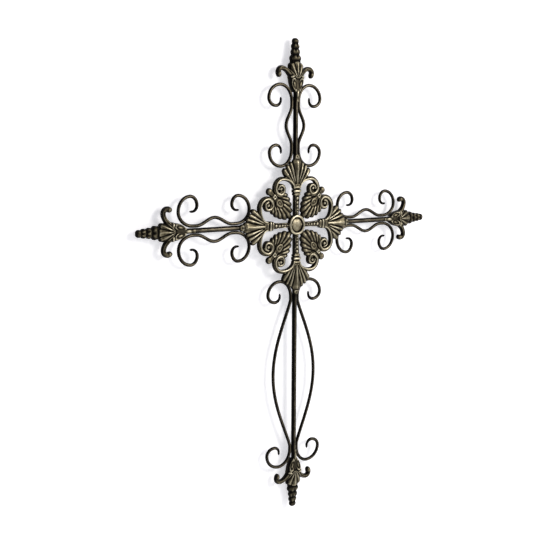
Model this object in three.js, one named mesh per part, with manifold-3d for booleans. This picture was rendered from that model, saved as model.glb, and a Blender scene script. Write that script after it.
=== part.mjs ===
// A wrought iron wall cross, hung flat on a wall. Millimetres, +Z up, +X to the viewer's right, and the front
// faces -Y. The origin is behind the crossing, where the back of the upright rod bears on the wall (y = 0).
// One upright rod and two side rods carry everything. A cast openwork medallion lies on the front of the
// crossing, a cast finial closes each of the four ends, and a pair of bent scrolls flanks each arm.
import * as THREE from "three";
import { mergeVertices } from "three/addons/utils/BufferGeometryUtils.js";
import Module from "manifold-3d";

const wasm = await Module();
wasm.setup();

// Driving sizes of the whole cross
const ARM = 345; // crossing to the tip of the top, left and right finials
const FOOT_ARM = 552; // crossing to the tip of the bottom finial
const ROD_R = 4.76; // round bar of 9.5 mm
const SCROLL_R = 3.15; // round bar of 6.3 mm
const GAP = 0.3; // clearance wherever two pieces touch

// Facets of the solids
const ROD_SIDES = 12;
const SCROLL_SIDES = 5;
const GROOVE_SIDES = 8;
const QUARTER_STEPS = [3, 3, 2, 2]; // straight steps in the four quarter turns of a curl
const BOW_STEPS = 4; // straight steps in the swell of a short scroll
const FOOT_BOW_STEPS = 8;

// Each arm is built along +X and then turned about the Y axis: x is the way out along the arm, z is across
// it, and y is minus the depth in front of the wall.
const ROD_DEPTH = ROD_R * Math.cos(Math.PI / ROD_SIDES); // the rod's rear flat lies on the wall plane
const ROD_FRONT = ROD_DEPTH + ROD_R + GAP; // where a casting laid over the rod begins
const TURN = { right: 0, top: 90, left: 180, bottom: 270 };

// Closed solids

const newell = (ring) => {
  const sum = new THREE.Vector3();
  ring.forEach((p, i) => sum.add(new THREE.Vector3().crossVectors(p, ring[(i + 1) % ring.length])));
  return sum;
};

// A closed surface through rings that all have the same number of points, with a flat cap on each end.
function loft(rings) {
  const sides = rings[0].length;
  const points = rings.flat();
  const faces = [];
  for (let i = 0; i + 1 < rings.length; i++) {
    for (let j = 0; j < sides; j++) {
      const a = i * sides + j;
      const b = i * sides + ((j + 1) % sides);
      faces.push([a, b, b + sides], [a, b + sides, a + sides]);
    }
  }
  const last = points.length - sides;
  for (let j = 1; j + 1 < sides; j++) {
    faces.push([0, j + 1, j], [last, last + j, last + j + 1]);
  }
  const travel = new THREE.Vector3().subVectors(rings.at(-1)[0], rings[0][0]);
  const along = new THREE.Vector3().subVectors(rings[1][0], rings[0][0]);
  const inward = newell(rings[0]).dot(along.lengthSq() ? along : travel) < 0;
  const index = faces.flatMap(([a, b, c]) => (inward ? [a, c, b] : [a, b, c]));
  const geometry = new THREE.BufferGeometry();
  geometry.setAttribute("position", new THREE.Float32BufferAttribute(points.flatMap((p) => p.toArray()), 3));
  geometry.setIndex(index);
  return geometry;
}

function toSolid(geometry) {
  const bare = new THREE.BufferGeometry();
  const flat = geometry.index ? geometry.toNonIndexed() : geometry;
  bare.setAttribute("position", flat.getAttribute("position"));
  const merged = mergeVertices(bare, 1e-4);
  return new wasm.Manifold(
    new wasm.Mesh({
      numProp: 3,
      vertProperties: merged.attributes.position.array,
      triVerts: new Uint32Array(merged.index.array),
    }),
  );
}

function toGeometry(solid) {
  const mesh = solid.getMesh();
  const geometry = new THREE.BufferGeometry();
  geometry.setAttribute("position", new THREE.Float32BufferAttribute(mesh.vertProperties, 3));
  geometry.setIndex(new THREE.Uint32BufferAttribute(mesh.triVerts, 1));
  geometry.computeVertexNormals();
  return geometry;
}

const join = (solids) => solids.reduce((all, next) => all.add(next));

// Paths in the plane of an arm, as [along, across] points

// A chain of quarter turns. Each quarter is [reach, swing, steps]: it carries on along the heading by its
// reach while it swings to the side by its swing, and the next quarter heads that way.
function quarterTurns([along, across], heading, side, quarters) {
  const points = [[along, across]];
  let [hx, hz] = heading;
  let at = [along, across];
  for (const [reach, swing, steps] of quarters) {
    const [nx, nz] = [-hz * side, hx * side];
    for (let i = 1; i <= steps; i++) {
      const t = (i / steps) * (Math.PI / 2);
      const [fwd, off] = [reach * Math.sin(t), swing * (1 - Math.cos(t))];
      points.push([at[0] + hx * fwd + nx * off, at[1] + hz * fwd + nz * off]);
    }
    at = points.at(-1);
    [hx, hz] = [nx, nz];
  }
  return points;
}

// The unit direction across a path at each of its points.
function normals(path) {
  return path.map((_, i) => {
    const [a, b] = [path[Math.max(i - 1, 0)], path[Math.min(i + 1, path.length - 1)]];
    const length = Math.hypot(b[0] - a[0], b[1] - a[1]);
    return [-(b[1] - a[1]) / length, (b[0] - a[0]) / length];
  });
}

// A round bar along a path at one depth, with its own radius at each point.
function roundBar(path, depth, radii, sides) {
  const across = normals(path);
  const rings = path.map(([x, z], i) =>
    Array.from({ length: sides }, (_, k) => {
      const angle = ((k + 0.5) / sides) * 2 * Math.PI;
      const out = radii[i] * Math.cos(angle);
      const up = radii[i] * Math.sin(angle);
      return new THREE.Vector3(x + across[i][0] * out, -(depth + up), z + across[i][1] * out);
    }),
  );
  return loft(rings);
}

// Where the shoulders of a rounded ridge sit, as shares of its half width and of its crown's rise.
const SHOULDER_OUT = 0.6;
const SHOULDER_UP = 0.75;

// A carved ridge on a flat back. Each station is [along, across, half width, edge height, crown height], and
// a sixth value lifts its underside. Shoulders round the crown off.
function ridge(stations, back, rounded = false) {
  const across = normals(stations);
  const rings = stations.map(([x, z, half, edge, crown, base = 0], i) => {
    const section = [[-half, base], [-half, edge], [0, crown], [half, edge], [half, base]];
    if (rounded) {
      const [out, rise] = [half * SHOULDER_OUT, edge + (crown - edge) * SHOULDER_UP];
      section.splice(2, 1, [-out, rise], [0, crown], [out, rise]);
    }
    return section.map(
      ([off, up]) => new THREE.Vector3(x + across[i][0] * off, -(back + up), z + across[i][1] * off),
    );
  });
  return loft(rings);
}

// Rods

function rod(from, to) {
  return roundBar([[from, 0], [to, 0]], ROD_DEPTH, [ROD_R, ROD_R], ROD_SIDES);
}

// The space that a casting leaves for the rod that it sits on.
function groove(from, to) {
  const radius = (ROD_R + GAP) / Math.cos(Math.PI / GROOVE_SIDES);
  return roundBar([[from, 0], [to, 0]], ROD_DEPTH, [radius, radius], GROOVE_SIDES);
}

// Scrolls

const SCROLL_DEPTH = SCROLL_R; // the scrolls lie back against the wall plane as the rods do
const SCROLL_OFFSET = ROD_R + SCROLL_R + GAP; // the scroll's axis from the rod's where they run together
const CURL_START = 137.5; // where the inner curl leaves the rod, from the crossing
const CURL_END_FROM_TIP = 115; // where the outer curl leaves the rod, from the finial's tip
const CURL_REACH = [30, 26.5, 14, 11]; // how far each quarter turn of a curl carries on
const CURL_SWING = [25.75, 25, 16, 10.5]; // and how far it swings aside
const CURL_TAIL = 5.5;
const CURL_TIP_R = 1.9;
const TAPER = 22; // the bar thins to its tip over this length
const RUN = 8; // length of bar laid against the rod beside each curl
const BOW = 13.2; // how far the short scrolls swell away from the rod
const FOOT_BOW = 41.5; // and the long ones
const BOW_SHARPNESS = 2; // a higher power draws the swell in towards its middle
const FOOT_BOW_SHARPNESS = 1.12;

// Each scroll was bent by hand, so no two are quite alike. How much further along the arm its inner and its
// outer curl stand than the sizes above say, and how wide those two curls are beside the standard one.
const BENT = {
  top_left: { inner: 2.5, outer: 0, innerWidth: 1, outerWidth: 1.03 },
  top_right: { inner: 2.5, outer: 0, innerWidth: 1, outerWidth: 1 },
  bottom_right: { inner: -1, outer: -3, innerWidth: 1.07, outerWidth: 1.04 },
  bottom_left: { inner: -1.5, outer: -1, innerWidth: 1.045, outerWidth: 1.07 },
  left_lower: { inner: -0.8, outer: 0, innerWidth: 1, outerWidth: 1 },
  left_upper: { inner: -0.8, outer: 0, innerWidth: 0.97, outerWidth: 1 },
  right_upper: { inner: 0, outer: 0, innerWidth: 0.935, outerWidth: 0.935 },
  right_lower: { inner: 0, outer: 0, innerWidth: 1, outerWidth: 1 },
};

// The curl from where it leaves the rod to its tip.
function curlPath(start, way, width) {
  const quarters = CURL_REACH.map((reach, i) => [reach, CURL_SWING[i], QUARTER_STEPS[i]]);
  const path = quarterTurns([start, 0], [way, 0], way, quarters);
  const [x, z] = path.at(-1);
  const whole = [...path, [x + way * CURL_TAIL, z]];
  return whole.map(([along, across]) => [along, SCROLL_OFFSET + across * width]);
}

function scrollPath(tip, bow, sharpness, steps, bent) {
  const start = CURL_START + bent.inner;
  const end = tip - CURL_END_FROM_TIP + bent.outer;
  const from = start + RUN;
  const to = end - RUN;
  const middle = Array.from({ length: steps + 1 }, (_, i) => {
    const t = i / steps;
    return [from + (to - from) * t, SCROLL_OFFSET + bow * Math.sin(Math.PI * t) ** sharpness];
  });
  return [...curlPath(start, -1, bent.innerWidth).reverse(), ...middle, ...curlPath(end, 1, bent.outerWidth)];
}

// Full radius along the bar, thinning near both tips.
function scrollRadii(path) {
  const gaps = path.map((p, i) => (i ? Math.hypot(p[0] - path[i - 1][0], p[1] - path[i - 1][1]) : 0));
  let run = 0;
  const at = gaps.map((g) => (run += g));
  const length = at.at(-1);
  return at.map((s) => {
    const t = Math.min(1, Math.min(s, length - s) / TAPER);
    return CURL_TIP_R + (SCROLL_R - CURL_TIP_R) * t;
  });
}

function scroll(tip, swell, bent, side) {
  const path = scrollPath(tip, ...swell, bent).map(([x, z]) => [x, z * side]);
  return roundBar(path, SCROLL_DEPTH, scrollRadii(path), SCROLL_SIDES);
}

// Medallion

const SEAT = 4.8; // how deep the rods are let into the grooves of the casting's flat back
const CAST_BACK = ROD_FRONT - SEAT;
const HUB_R = 19.3;
const GROOVE_END = 140; // the grooves run out past the tips of the shells

// All heights below are above the casting's back.
// Along the arm: the spoke lies on the front of the rod and swells outward to its collars.
// [along, half width, edge height, height]
const SPOKE = [[14, 4.1, 5.4, 7], [55, 6, 5.6, 8]];
const SPOKE_BASE = 3.1;
// The three collars across the end of the spoke: [along, half length, half width, height]
const COLLARS = [[58, 2.6, 8.2, 8.8], [64.4, 3.4, 9.2, 10], [71, 2.6, 8.2, 8.6]];
const COLLAR_CROWN = 2.4; // how much higher a collar is along its middle

function spoke() {
  const collars = COLLARS.flatMap(([at, length, half, top]) => [
    [at - length, half, top - COLLAR_CROWN, top],
    [at + length, half, top - COLLAR_CROWN, top],
  ]);
  return ridge([...SPOKE, ...collars].map(([x, ...rest]) => [x, 0, ...rest, SPOKE_BASE]), CAST_BACK);
}

// The hub is a shallow dish inside a round moulding: [radius, height], from the outside in
const HUB = [[HUB_R, 0], [HUB_R, 6], [17.8, 8.4], [15.6, 8.8], [14.2, 7.6], [13.4, 5.2], [8, 6.6]];
const HUB_FLOOR = 7; // height of the dish's slightly domed floor at its centre
const HUB_SIDES = 16;

// A round form from its profile of [radius, height] points, standing on the casting's back.
function round(x, z, profile, sides) {
  const points = profile.map(([r, h]) => new THREE.Vector2(r, h));
  return new THREE.LatheGeometry(points, sides).rotateX(Math.PI).translate(x, -CAST_BACK, z);
}

// The C-scroll: up from the collars, over, and round into its volute. [reach, swing, steps]
const BAND_START = [70, 6.5];
const BAND_TURNS = [[17, 26.5, 3], [18.5, 18, 3], [12, 13, 2], [9, 10, 2]];
const BAND_HALF = [2.8, 3.8, 4, 3.6, 2.8]; // half width at the start and after each turn
const BAND_EDGE = 6.6;
const BAND_TOP = 8.6;
const EYE = [[0, 0], [8.8, 0], [8.8, 4.8], [0, 8.4]]; // the rounded button that fills the volute
const EYE_SIDES = 6;
const EYE_CENTRE = [67.4, 38.6];

function band(side) {
  const path = quarterTurns(BAND_START, [1, 0], 1, BAND_TURNS);
  const halves = [BAND_HALF[0]];
  BAND_TURNS.forEach(([, , steps], i) => {
    for (let k = 1; k <= steps; k++) {
      halves.push(THREE.MathUtils.lerp(BAND_HALF[i], BAND_HALF[i + 1], k / steps));
    }
  });
  return ridge(path.map(([x, z], i) => [x, z * side, halves[i], BAND_EDGE, BAND_TOP]), CAST_BACK);
}

function eye(side) {
  return round(EYE_CENTRE[0], EYE_CENTRE[1] * side, EYE, EYE_SIDES);
}

// A fan of fluted lobes, high along each lobe and low between two. Each lobe's tip and each valley's end is
// [along, across] on one side of the fan, from the middle outward; the other side mirrors it.
function fan(root, spread, crests, valleys, base, crestRise, valleyRise) {
  const half = crests.flatMap((tip, i) => {
    const crest = [tip, crestRise];
    return i ? [[valleys[i - 1], valleyRise], crest] : [crest];
  });
  const mirrored = half.slice(1).reverse().map(([[x, z], rise]) => [[x, -z], rise]);
  const rays = [...mirrored, ...half];
  const middle = (rays.length - 1) / 2;
  const rings = rays.map(([tip, rise], j) => {
    const from = [root, ((j - middle) / middle) * spread];
    const at = (t, up) =>
      new THREE.Vector3(
        THREE.MathUtils.lerp(from[0], tip[0], t),
        -(CAST_BACK + base + up),
        THREE.MathUtils.lerp(from[1], tip[1], t),
      );
    return [at(0, 0), ...rise.map((up, i) => at(i / (rise.length - 1), up)), at(1, 0)];
  });
  return loft(rings);
}

// The shell: one long leaf over the rod and three fluted lobes on each side, fanning from the collars. It
// stands clear of the scrolls that pass behind it.
const SHELL_BASE = SCROLL_DEPTH + SCROLL_R + GAP - CAST_BACK;
const SHELL_ROOT = 74;
const SHELL_SPREAD = 5.5;
const SHELL_CRESTS = [[117, 0], [117.5, 15.5], [112.5, 23.4], [102.5, 31]];
const SHELL_VALLEYS = [[112, 9], [110.5, 19.2], [101.5, 24.5]];
const SHELL_CREST_RISE = [4.6, 6.2, 3.4];
const SHELL_VALLEY_RISE = [4, 3.4, 2];
const SHELL_LEAF = [
  [73, 2.6, 5, 8], [106, 7.8, 5, 9.6], [116, 10.4, 4.4, 9.2], [124, 7, 4.6, 7.6],
  [126, 6.8, 5.4, 8.4], [132, 4.6, 4.6, 6.8],
]; // [along, half width, edge height, crown height]

function shell() {
  const leaf = SHELL_LEAF.map(([x, ...rest]) => [x, 0, ...rest, SHELL_BASE]);
  const lobes = [SHELL_BASE, SHELL_CREST_RISE, SHELL_VALLEY_RISE];
  return [ridge(leaf, CAST_BACK), fan(SHELL_ROOT, SHELL_SPREAD, SHELL_CRESTS, SHELL_VALLEYS, ...lobes)];
}

// The palmette lies on the diagonal, its tip against the hub: along is the way out on the diagonal.
const PALMETTE_BASE = 1.6;
const PALMETTE_ROOT = 70;
const PALMETTE_SPREAD = 7;
const PALMETTE_TUCK = 0.8; // how far the tip runs under the hub's rim
const PALMETTE_CRESTS = [[HUB_R - PALMETTE_TUCK, 0], [28, 9.4], [37, 17], [47.6, 22.2], [59.4, 23.4]];
const PALMETTE_VALLEYS = [[27.6, 4.4], [35, 12.2], [44.4, 18.2], [55.4, 20.6]];
const PALMETTE_CREST_RISE = [5.6, 6.8, 4];
const PALMETTE_VALLEY_RISE = [5, 4.6, 3];
// The boss at its root with the stem beyond, and the bud on the end: [along, half width, edge height, height]
const BOSS = [[51, 3, 6, 8], [58, 7.4, 7, 10], [67, 6.6, 7, 9.6], [73, 4.2, 5, 7.4], [90, 4.2, 5, 7]];
const BUD = [[0, 0], [6.8, 0], [6.8, 4.4], [4.6, 6.8], [0, 7.6]];
const BUD_CENTRE = 90;
const BUD_SIDES = 6;

function palmette() {
  const rises = [PALMETTE_BASE, PALMETTE_CREST_RISE, PALMETTE_VALLEY_RISE];
  return [
    fan(PALMETTE_ROOT, PALMETTE_SPREAD, PALMETTE_CRESTS, PALMETTE_VALLEYS, ...rises),
    ridge(BOSS.map(([x, ...rest]) => [x, 0, ...rest]), CAST_BACK),
    round(BUD_CENTRE, 0, BUD, BUD_SIDES),
  ];
}

function medallion() {
  const volutes = [1, -1].flatMap((side) => [band(side), eye(side)]);
  const arm = join([spoke(), ...shell(), ...volutes].map(toSolid));
  const corner = join(palmette().map(toSolid));
  const solids = [toSolid(round(0, 0, [[0, 0], ...HUB, [0, HUB_FLOOR]], HUB_SIDES))];
  for (const degrees of Object.values(TURN)) {
    solids.push(arm.rotate([0, -degrees, 0]), corner.rotate([0, -degrees - 45, 0]));
  }
  const seat = toSolid(groove(-GROOVE_END, GROOVE_END));
  return toGeometry(join(solids).subtract(seat).subtract(seat.rotate([0, 90, 0])));
}

// Finials

const SOCKET = 24; // length of rod held in the finial
const NECK = 116; // length of the finial, from its tip to the end of its bead
const ROD_STOP = NECK - SOCKET;

// From the tip inward: [from the tip, half width, edge height, crown height]
const CONE = [
  [0, 3.2, 1.6, 5], [4.6, 6.8, 2.2, 7.6], [10.5, 6, 2.4, 7], [14.6, 8.6, 2.6, 8.6],
  [19.8, 7, 2.6, 7.6], [25, 9.8, 2.8, 9.4], [30.5, 8.4, 2.8, 8.2], [36, 12.6, 3, 10.2], [42, 10.4, 3, 9],
];
// Over the end of the rod: [from the tip, half width, edge height, crown height above the rod]
const BODY = [[48, 15.6, 3, 1], [60, 13.4, 3, 1.2], [73, 15.6, 3, 1.6], [85, 13, 3, 2], [98, 6.2, 6, 2.4]];

function finialCore() {
  const body = BODY.map(([t, half, edge, top]) => [t, half, edge, ROD_FRONT + top]);
  return ridge([...CONE, ...body].map(([t, ...rest]) => [-t, 0, ...rest]), 0, true);
}

// The long bead that lies on the front of the rod: [from the tip, half width, edge height, crown height]
const BEAD = [[96, 4.2, 1.6, 4.6], [106, 4.2, 2, 5.6], [NECK, 1.8, 1.8, 3.2]];
const BEAD_SEAT = 2.3; // how deep the rod is let into it

function bead() {
  return ridge(BEAD.map(([t, ...rest]) => [-t, 0, ...rest]), ROD_FRONT - BEAD_SEAT);
}

// The pair of side leaves, curled back at the end into a knob: [from the tip, across, half width, edge
// height, crown height]
const SIDE_LEAF = [
  [76, 7, 4.8, 4, 10], [64, 15, 4.6, 3, 9], [57, 24, 4.2, 2.4, 7.4], [54.8, 33, 4.6, 2.4, 7],
  [58.8, 39, 5, 2.4, 7.4], [64.8, 39.8, 5, 2.4, 7.4], [69.2, 38, 2.6, 2, 5],
];

function sideLeaf(side) {
  return ridge(SIDE_LEAF.map(([t, z, ...rest]) => [-t, z * side, ...rest]), 0);
}

// The calyx that each side leaf grows out of, a bell that opens towards the tip: [from the tip, across, half
// width, edge height, crown height]
const CALYX = [[97, 4, 2, 8, 12.4], [89, 7.6, 4.8, 8, 13.4], [79, 10.4, 6, 7, 13], [72.6, 11.4, 5.8, 5, 12]];

function calyx(side) {
  return ridge(CALYX.map(([t, z, ...rest]) => [-t, z * side, ...rest]), 0);
}

function finial() {
  const pieces = [finialCore(), bead(), ...[1, -1].flatMap((side) => [sideLeaf(side), calyx(side)])];
  const socket = toSolid(groove(GAP - ROD_STOP, -NECK - SOCKET));
  return toGeometry(join(pieces.map(toSolid)).subtract(socket));
}

// Assembly

const iron = (color) => new THREE.MeshStandardMaterial({ color, roughness: 0.45, metalness: 0.9 });
const BAR_FINISH = iron(0x3a352b); // dark bronzed bar
const CAST_FINISH = iron(0x6b6350); // castings, rubbed lighter on the crests

function named(name, geometry, material) {
  const mesh = new THREE.Mesh(geometry, material);
  mesh.name = name;
  return mesh;
}

const cross = new THREE.Group();

const medallionMesh = named("medallion", medallion(), CAST_FINISH);
cross.add(medallionMesh);

const uprightRod = named("upright_rod", rod(-(FOOT_ARM - ROD_STOP), ARM - ROD_STOP), BAR_FINISH);
uprightRod.rotation.y = THREE.MathUtils.degToRad(-TURN.top);
cross.add(uprightRod);

// The two scrolls of each arm: first the one on the +Z side of the arm before it is turned
const SIDES_OF = {
  top: ["left", "right"],
  bottom: ["right", "left"],
  left: ["lower", "upper"],
  right: ["upper", "lower"],
};
const finialGeometry = finial();

for (const [arm, degrees] of Object.entries(TURN)) {
  const foot = arm === "bottom";
  const tip = foot ? FOOT_ARM : ARM;
  const swell = foot ? [FOOT_BOW, FOOT_BOW_SHARPNESS, FOOT_BOW_STEPS] : [BOW, BOW_SHARPNESS, BOW_STEPS];
  const group = new THREE.Group();
  group.rotation.y = THREE.MathUtils.degToRad(-degrees);
  if (arm === "left" || arm === "right") {
    group.add(named(`${arm}_rod`, rod(ROD_R + GAP, tip - ROD_STOP), BAR_FINISH));
  }
  [1, -1].forEach((side, i) => {
    const which = SIDES_OF[arm][i];
    const bar = scroll(tip, swell, BENT[`${arm}_${which}`], side);
    group.add(named(`${arm}_scroll_${which}`, bar, BAR_FINISH));
  });
  const end = named(`${arm}_finial`, finialGeometry, CAST_FINISH);
  end.position.x = tip;
  group.add(end);
  cross.add(group);
}

export default cross;
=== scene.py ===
# A wrought iron wall cross with cast ornaments.
# Its plans are worked out in millimetres, as the smith would, and turned into metres when a mesh is made.
import math

import bpy
import numpy as np
from mathutils import Matrix, Vector


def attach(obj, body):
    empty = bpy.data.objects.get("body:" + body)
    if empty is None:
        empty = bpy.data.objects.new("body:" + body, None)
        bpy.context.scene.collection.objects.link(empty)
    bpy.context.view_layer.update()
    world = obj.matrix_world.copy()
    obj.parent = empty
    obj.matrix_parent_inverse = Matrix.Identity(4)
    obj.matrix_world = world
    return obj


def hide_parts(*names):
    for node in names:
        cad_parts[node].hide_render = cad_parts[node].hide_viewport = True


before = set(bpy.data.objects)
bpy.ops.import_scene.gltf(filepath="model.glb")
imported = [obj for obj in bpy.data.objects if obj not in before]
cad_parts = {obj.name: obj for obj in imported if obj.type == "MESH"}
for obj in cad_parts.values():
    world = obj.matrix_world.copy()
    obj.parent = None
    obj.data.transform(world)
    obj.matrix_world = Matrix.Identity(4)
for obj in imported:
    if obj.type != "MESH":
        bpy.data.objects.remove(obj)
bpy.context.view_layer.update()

# Straight bars
# One upright bar and two side bars of 9.5 mm round stock. They butt against the upright behind the medallion,
# and each end is held in the socket of a finial. The black scale of the forge shows through a thin bronzed
# wash, with a dull grey-brown painted highlight along the front of each bar and painted shade at its sides.

MM = 0.001
ARM = 345  # crossing to the tip of the top, left and right finials
FOOT_ARM = 552  # crossing to the tip of the bottom finial
ROD_R = 4.76
GAP = 0.3  # clearance wherever two pieces touch
NECK = 116  # length of a finial, tip to the end of its neck leaf
SOCKET = 24  # length of bar held in a finial
BAR_SIDES = 24
BAR_STEP = 12  # length of one ring of faces
CREASE = 60  # degrees past which an edge shows as sharp
SIDE_SHADE, FRONT_HIGHLIGHT, BACK_LIGHTENING = 0.02, 0.78, 0.35  # painted shade at a bar's sides, painted highlight along its front, and its back painted a little lighter, from 0 to 1
HIGHLIGHT_FOCUS, BACK_LIGHT_FOCUS = 2.8, 2  # and how closely the highlight keeps to its very front, and the lightening to its very back
TURN = {"right": 0, "top": 90, "left": 180, "bottom": 270}  # which way each arm points, in degrees


def linear(colour):
    """An sRGB hex colour as linear red, green, blue and a full alpha."""
    parts = [int(colour[i : i + 2], 16) / 255 for i in (0, 2, 4)]
    return (*(c / 12.92 if c <= 0.04045 else ((c + 0.055) / 1.055) ** 2.4 for c in parts), 1.0)


def add_node(tree, kind, settings, links):
    """A node with its settings, properties in small letters and sockets by name or number, and its links."""
    node = tree.nodes.new(kind)
    for name, value in settings.items():
        if isinstance(name, str) and name.islower():
            setattr(node, name, value)
        else:
            node.inputs[name].default_value = value
    for name, source in links.items():
        tree.links.new(source, node.inputs[name])
    return node


def arm_to_wall(points, degrees):
    """Points [along, depth, across] of an arm, in mm, as points of the whole cross in metres."""
    turn = math.radians(degrees)
    along, depth, across = np.asarray(points, float).T
    x = along * math.cos(turn) - across * math.sin(turn)
    z = along * math.sin(turn) + across * math.cos(turn)
    return np.stack([x, -depth, z], 1) * MM


def piece(name, points, faces, rub_and_painted_light, material, node):
    """A mesh object that stands for one solid. rub says how far each vertex is rubbed, with painted highlight
    and painted shade mixed in: 0 is a hollow.
    """
    mesh = bpy.data.meshes.new(name)
    mesh.from_pydata([tuple(p) for p in points], [], [tuple(f) for f in faces])
    mesh.update()
    mesh.attributes.new("rub_and_painted_light", "FLOAT", "POINT").data.foreach_set("value", np.asarray(rub_and_painted_light, np.float32))
    mesh.shade_smooth()
    mesh.set_sharp_from_angle(angle=math.radians(CREASE))
    mesh.materials.append(material)
    made = bpy.data.objects.new(name, mesh)
    bpy.context.scene.collection.objects.link(made)
    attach(made, "root")
    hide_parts(node)


def bar(path, depth, radii, sides):
    """Points and faces of a round bar along a flat path [along, across], one radius at each point of it."""
    path, radii = np.asarray(path, float), np.asarray(radii, float)
    run = np.gradient(path, axis=0)
    run /= np.linalg.norm(run, axis=1)[:, None]
    side = np.stack([-run[:, 1], run[:, 0]], 1)
    angle = np.arange(sides) / sides * 2 * math.pi
    out = radii[:, None] * np.cos(angle)
    up = radii[:, None] * np.sin(angle)
    along = path[:, 0][:, None] + side[:, 0][:, None] * out
    across = path[:, 1][:, None] + side[:, 1][:, None] * out
    points = np.stack([along, depth + up, across], -1).reshape(-1, 3)
    faces = []
    for i in range(len(path) - 1):
        for j in range(sides):
            a, b = i * sides + j, i * sides + (j + 1) % sides
            faces.append((a, b, b + sides, a + sides))
    last = (len(path) - 1) * sides
    faces.append(tuple(range(sides - 1, -1, -1)))
    faces.append(tuple(range(last, last + sides)))
    return points, faces


def painted_bar_light(points, depth, radius):
    """Painted light on a bar: a painted highlight along its front, painted shade at its sides, and its back
    painted a little lighter.
    """
    facing = (points[:, 1] - depth) / radius
    front, back = np.clip(facing, 0, 1), np.clip(-facing, 0, 1)
    return SIDE_SHADE + FRONT_HIGHLIGHT * front**HIGHLIGHT_FOCUS + BACK_LIGHTENING * back**BACK_LIGHT_FOCUS


def bronzed(name, colours, cloud, grain, reach, roughness, bump):
    """Iron with a bronze finish, dark where its rub is low and paler where it is high: that is real rubbing,
    and in places painted highlight and painted shade. colours are [place, sRGB] from the one to the other.
    cloud and grain are each the size in mm of a pattern and its share in the wear, reach is the wear at the
    first colour and at the last, roughness is that of those two, and bump is the strength of the grain's
    relief and its depth in mm."""
    material = bpy.data.materials.new(name)
    material.use_nodes = True
    tree = material.node_tree
    shader = tree.nodes["Principled BSDF"]
    shader.inputs["Metallic"].default_value = 0.9
    at = add_node(tree, "ShaderNodeTexCoord", {}, {}).outputs["Object"]
    # the rub attribute brings rubbing, and in places painted highlight and painted shade, into the colour
    wear_and_light = add_node(tree, "ShaderNodeAttribute", {"attribute_name": "rub_and_painted_light"}, {}).outputs["Fac"]
    for (size, share), detail in ((cloud, 3.0), (grain, 2.0)):
        noise = {"Scale": 1 / (size * MM), "Detail": detail}
        pattern = add_node(tree, "ShaderNodeTexNoise", noise, {"Vector": at}).outputs["Fac"]
        added = {"operation": "MULTIPLY_ADD", 1: share}
        wear_and_light = add_node(tree, "ShaderNodeMath", added, {0: pattern, 2: wear_and_light}).outputs[0]
    wear = {"From Min": reach[0], "From Max": reach[1]}
    level = add_node(tree, "ShaderNodeMapRange", wear, {"Value": wear_and_light}).outputs[0]
    ramp = add_node(tree, "ShaderNodeValToRGB", {}, {"Fac": level})
    for place, _ in colours[1:-1]:
        ramp.color_ramp.elements.new(place)
    for element, (place, colour) in zip(ramp.color_ramp.elements, colours):
        element.position = place
        element.color = linear(colour)
    tree.links.new(ramp.outputs["Color"], shader.inputs["Base Color"])
    gloss = {"To Min": roughness[0], "To Max": roughness[1]}
    rough = add_node(tree, "ShaderNodeMapRange", gloss, {"Value": level})
    tree.links.new(rough.outputs[0], shader.inputs["Roughness"])
    relief = {"Strength": bump[0], "Distance": bump[1] * MM}
    bumpy = add_node(tree, "ShaderNodeBump", relief, {"Height": pattern})
    tree.links.new(bumpy.outputs[0], shader.inputs["Normal"])
    return material


# Forged mild steel under a dark bronze wash: nearly black, with dull brown where it is worn and where a
# painted highlight runs along the front of a bar. The wear is cloudy, in patches of about 14 mm, over the 1.6
# mm grain of hammered scale.
IRON = bronzed(
    "forged_iron_bronze_wash",
    [(0.0, "020101"), (0.4, "060504"), (0.72, "1d1a15"), (1.0, "625b4d")],
    cloud=(14, 0.55),
    grain=(1.6, 0.3),
    reach=(0.42, 1.25),
    roughness=(0.5, 0.34),
    bump=(0.35, 0.2),
)

straight_bars = {
    "upright": (-(FOOT_ARM - NECK + SOCKET), ARM - NECK + SOCKET, 90),
    "left": (ROD_R + GAP, ARM - NECK + SOCKET, 180),
    "right": (ROD_R + GAP, ARM - NECK + SOCKET, 0),
}  # [start, end, degrees]
for name, (start, end, degrees) in straight_bars.items():
    steps = np.linspace(start, end, int((end - start) / BAR_STEP) + 2)
    points, faces = bar([[s, 0] for s in steps], ROD_R, np.full(len(steps), ROD_R), BAR_SIDES)
    # painted highlight along the bar's front and painted shade at its sides
    rub_and_painted_light = painted_bar_light(points, ROD_R, ROD_R)
    piece(f"{name}_bar", arm_to_wall(points, degrees), faces, rub_and_painted_light, IRON, f"{name}_rod")

# Scrolls
# Eight bars of 6.3 mm round stock, bent cold round a former and welded to the straight bars where they run
# beside them. Each has an open curl at both ends, drawn down to a thin tip, and swells away between them.

SCROLL_R = 3.15
SCROLL_OFFSET = ROD_R + SCROLL_R + GAP  # from the middle of the straight bar
SCROLL_SIDES = 18
SCROLL_STEP = 2.4  # length of one ring of faces
CURL_START = 137.5  # where the inner curl leaves the straight bar, from the crossing
CURL_END_FROM_TIP = 115  # where the outer curl leaves it, from the finial's tip
CURL_REACH = [30, 26.5, 14, 11]  # how far each quarter turn of a curl carries on
CURL_SWING = [25.75, 25, 16, 10.5]  # and how far it swings aside
CURL_STEPS = 12  # points on a quarter turn
CURL_TAIL = 5.5  # the last stretch of a curl, which is straight
CURL_TIP_R = 1.9
TAPER = 22  # length over which a tip is drawn down
BLUNT = 0.12  # how blunt a tip ends: 0 is a point
RUN = 8  # how far a scroll runs beside the straight bar before it swells
BOW = (13.2, 2.0)  # how far a short scroll swells, and how sharply
FOOT_BOW = (41.5, 1.12)
BOW_STEPS = 60
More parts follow.
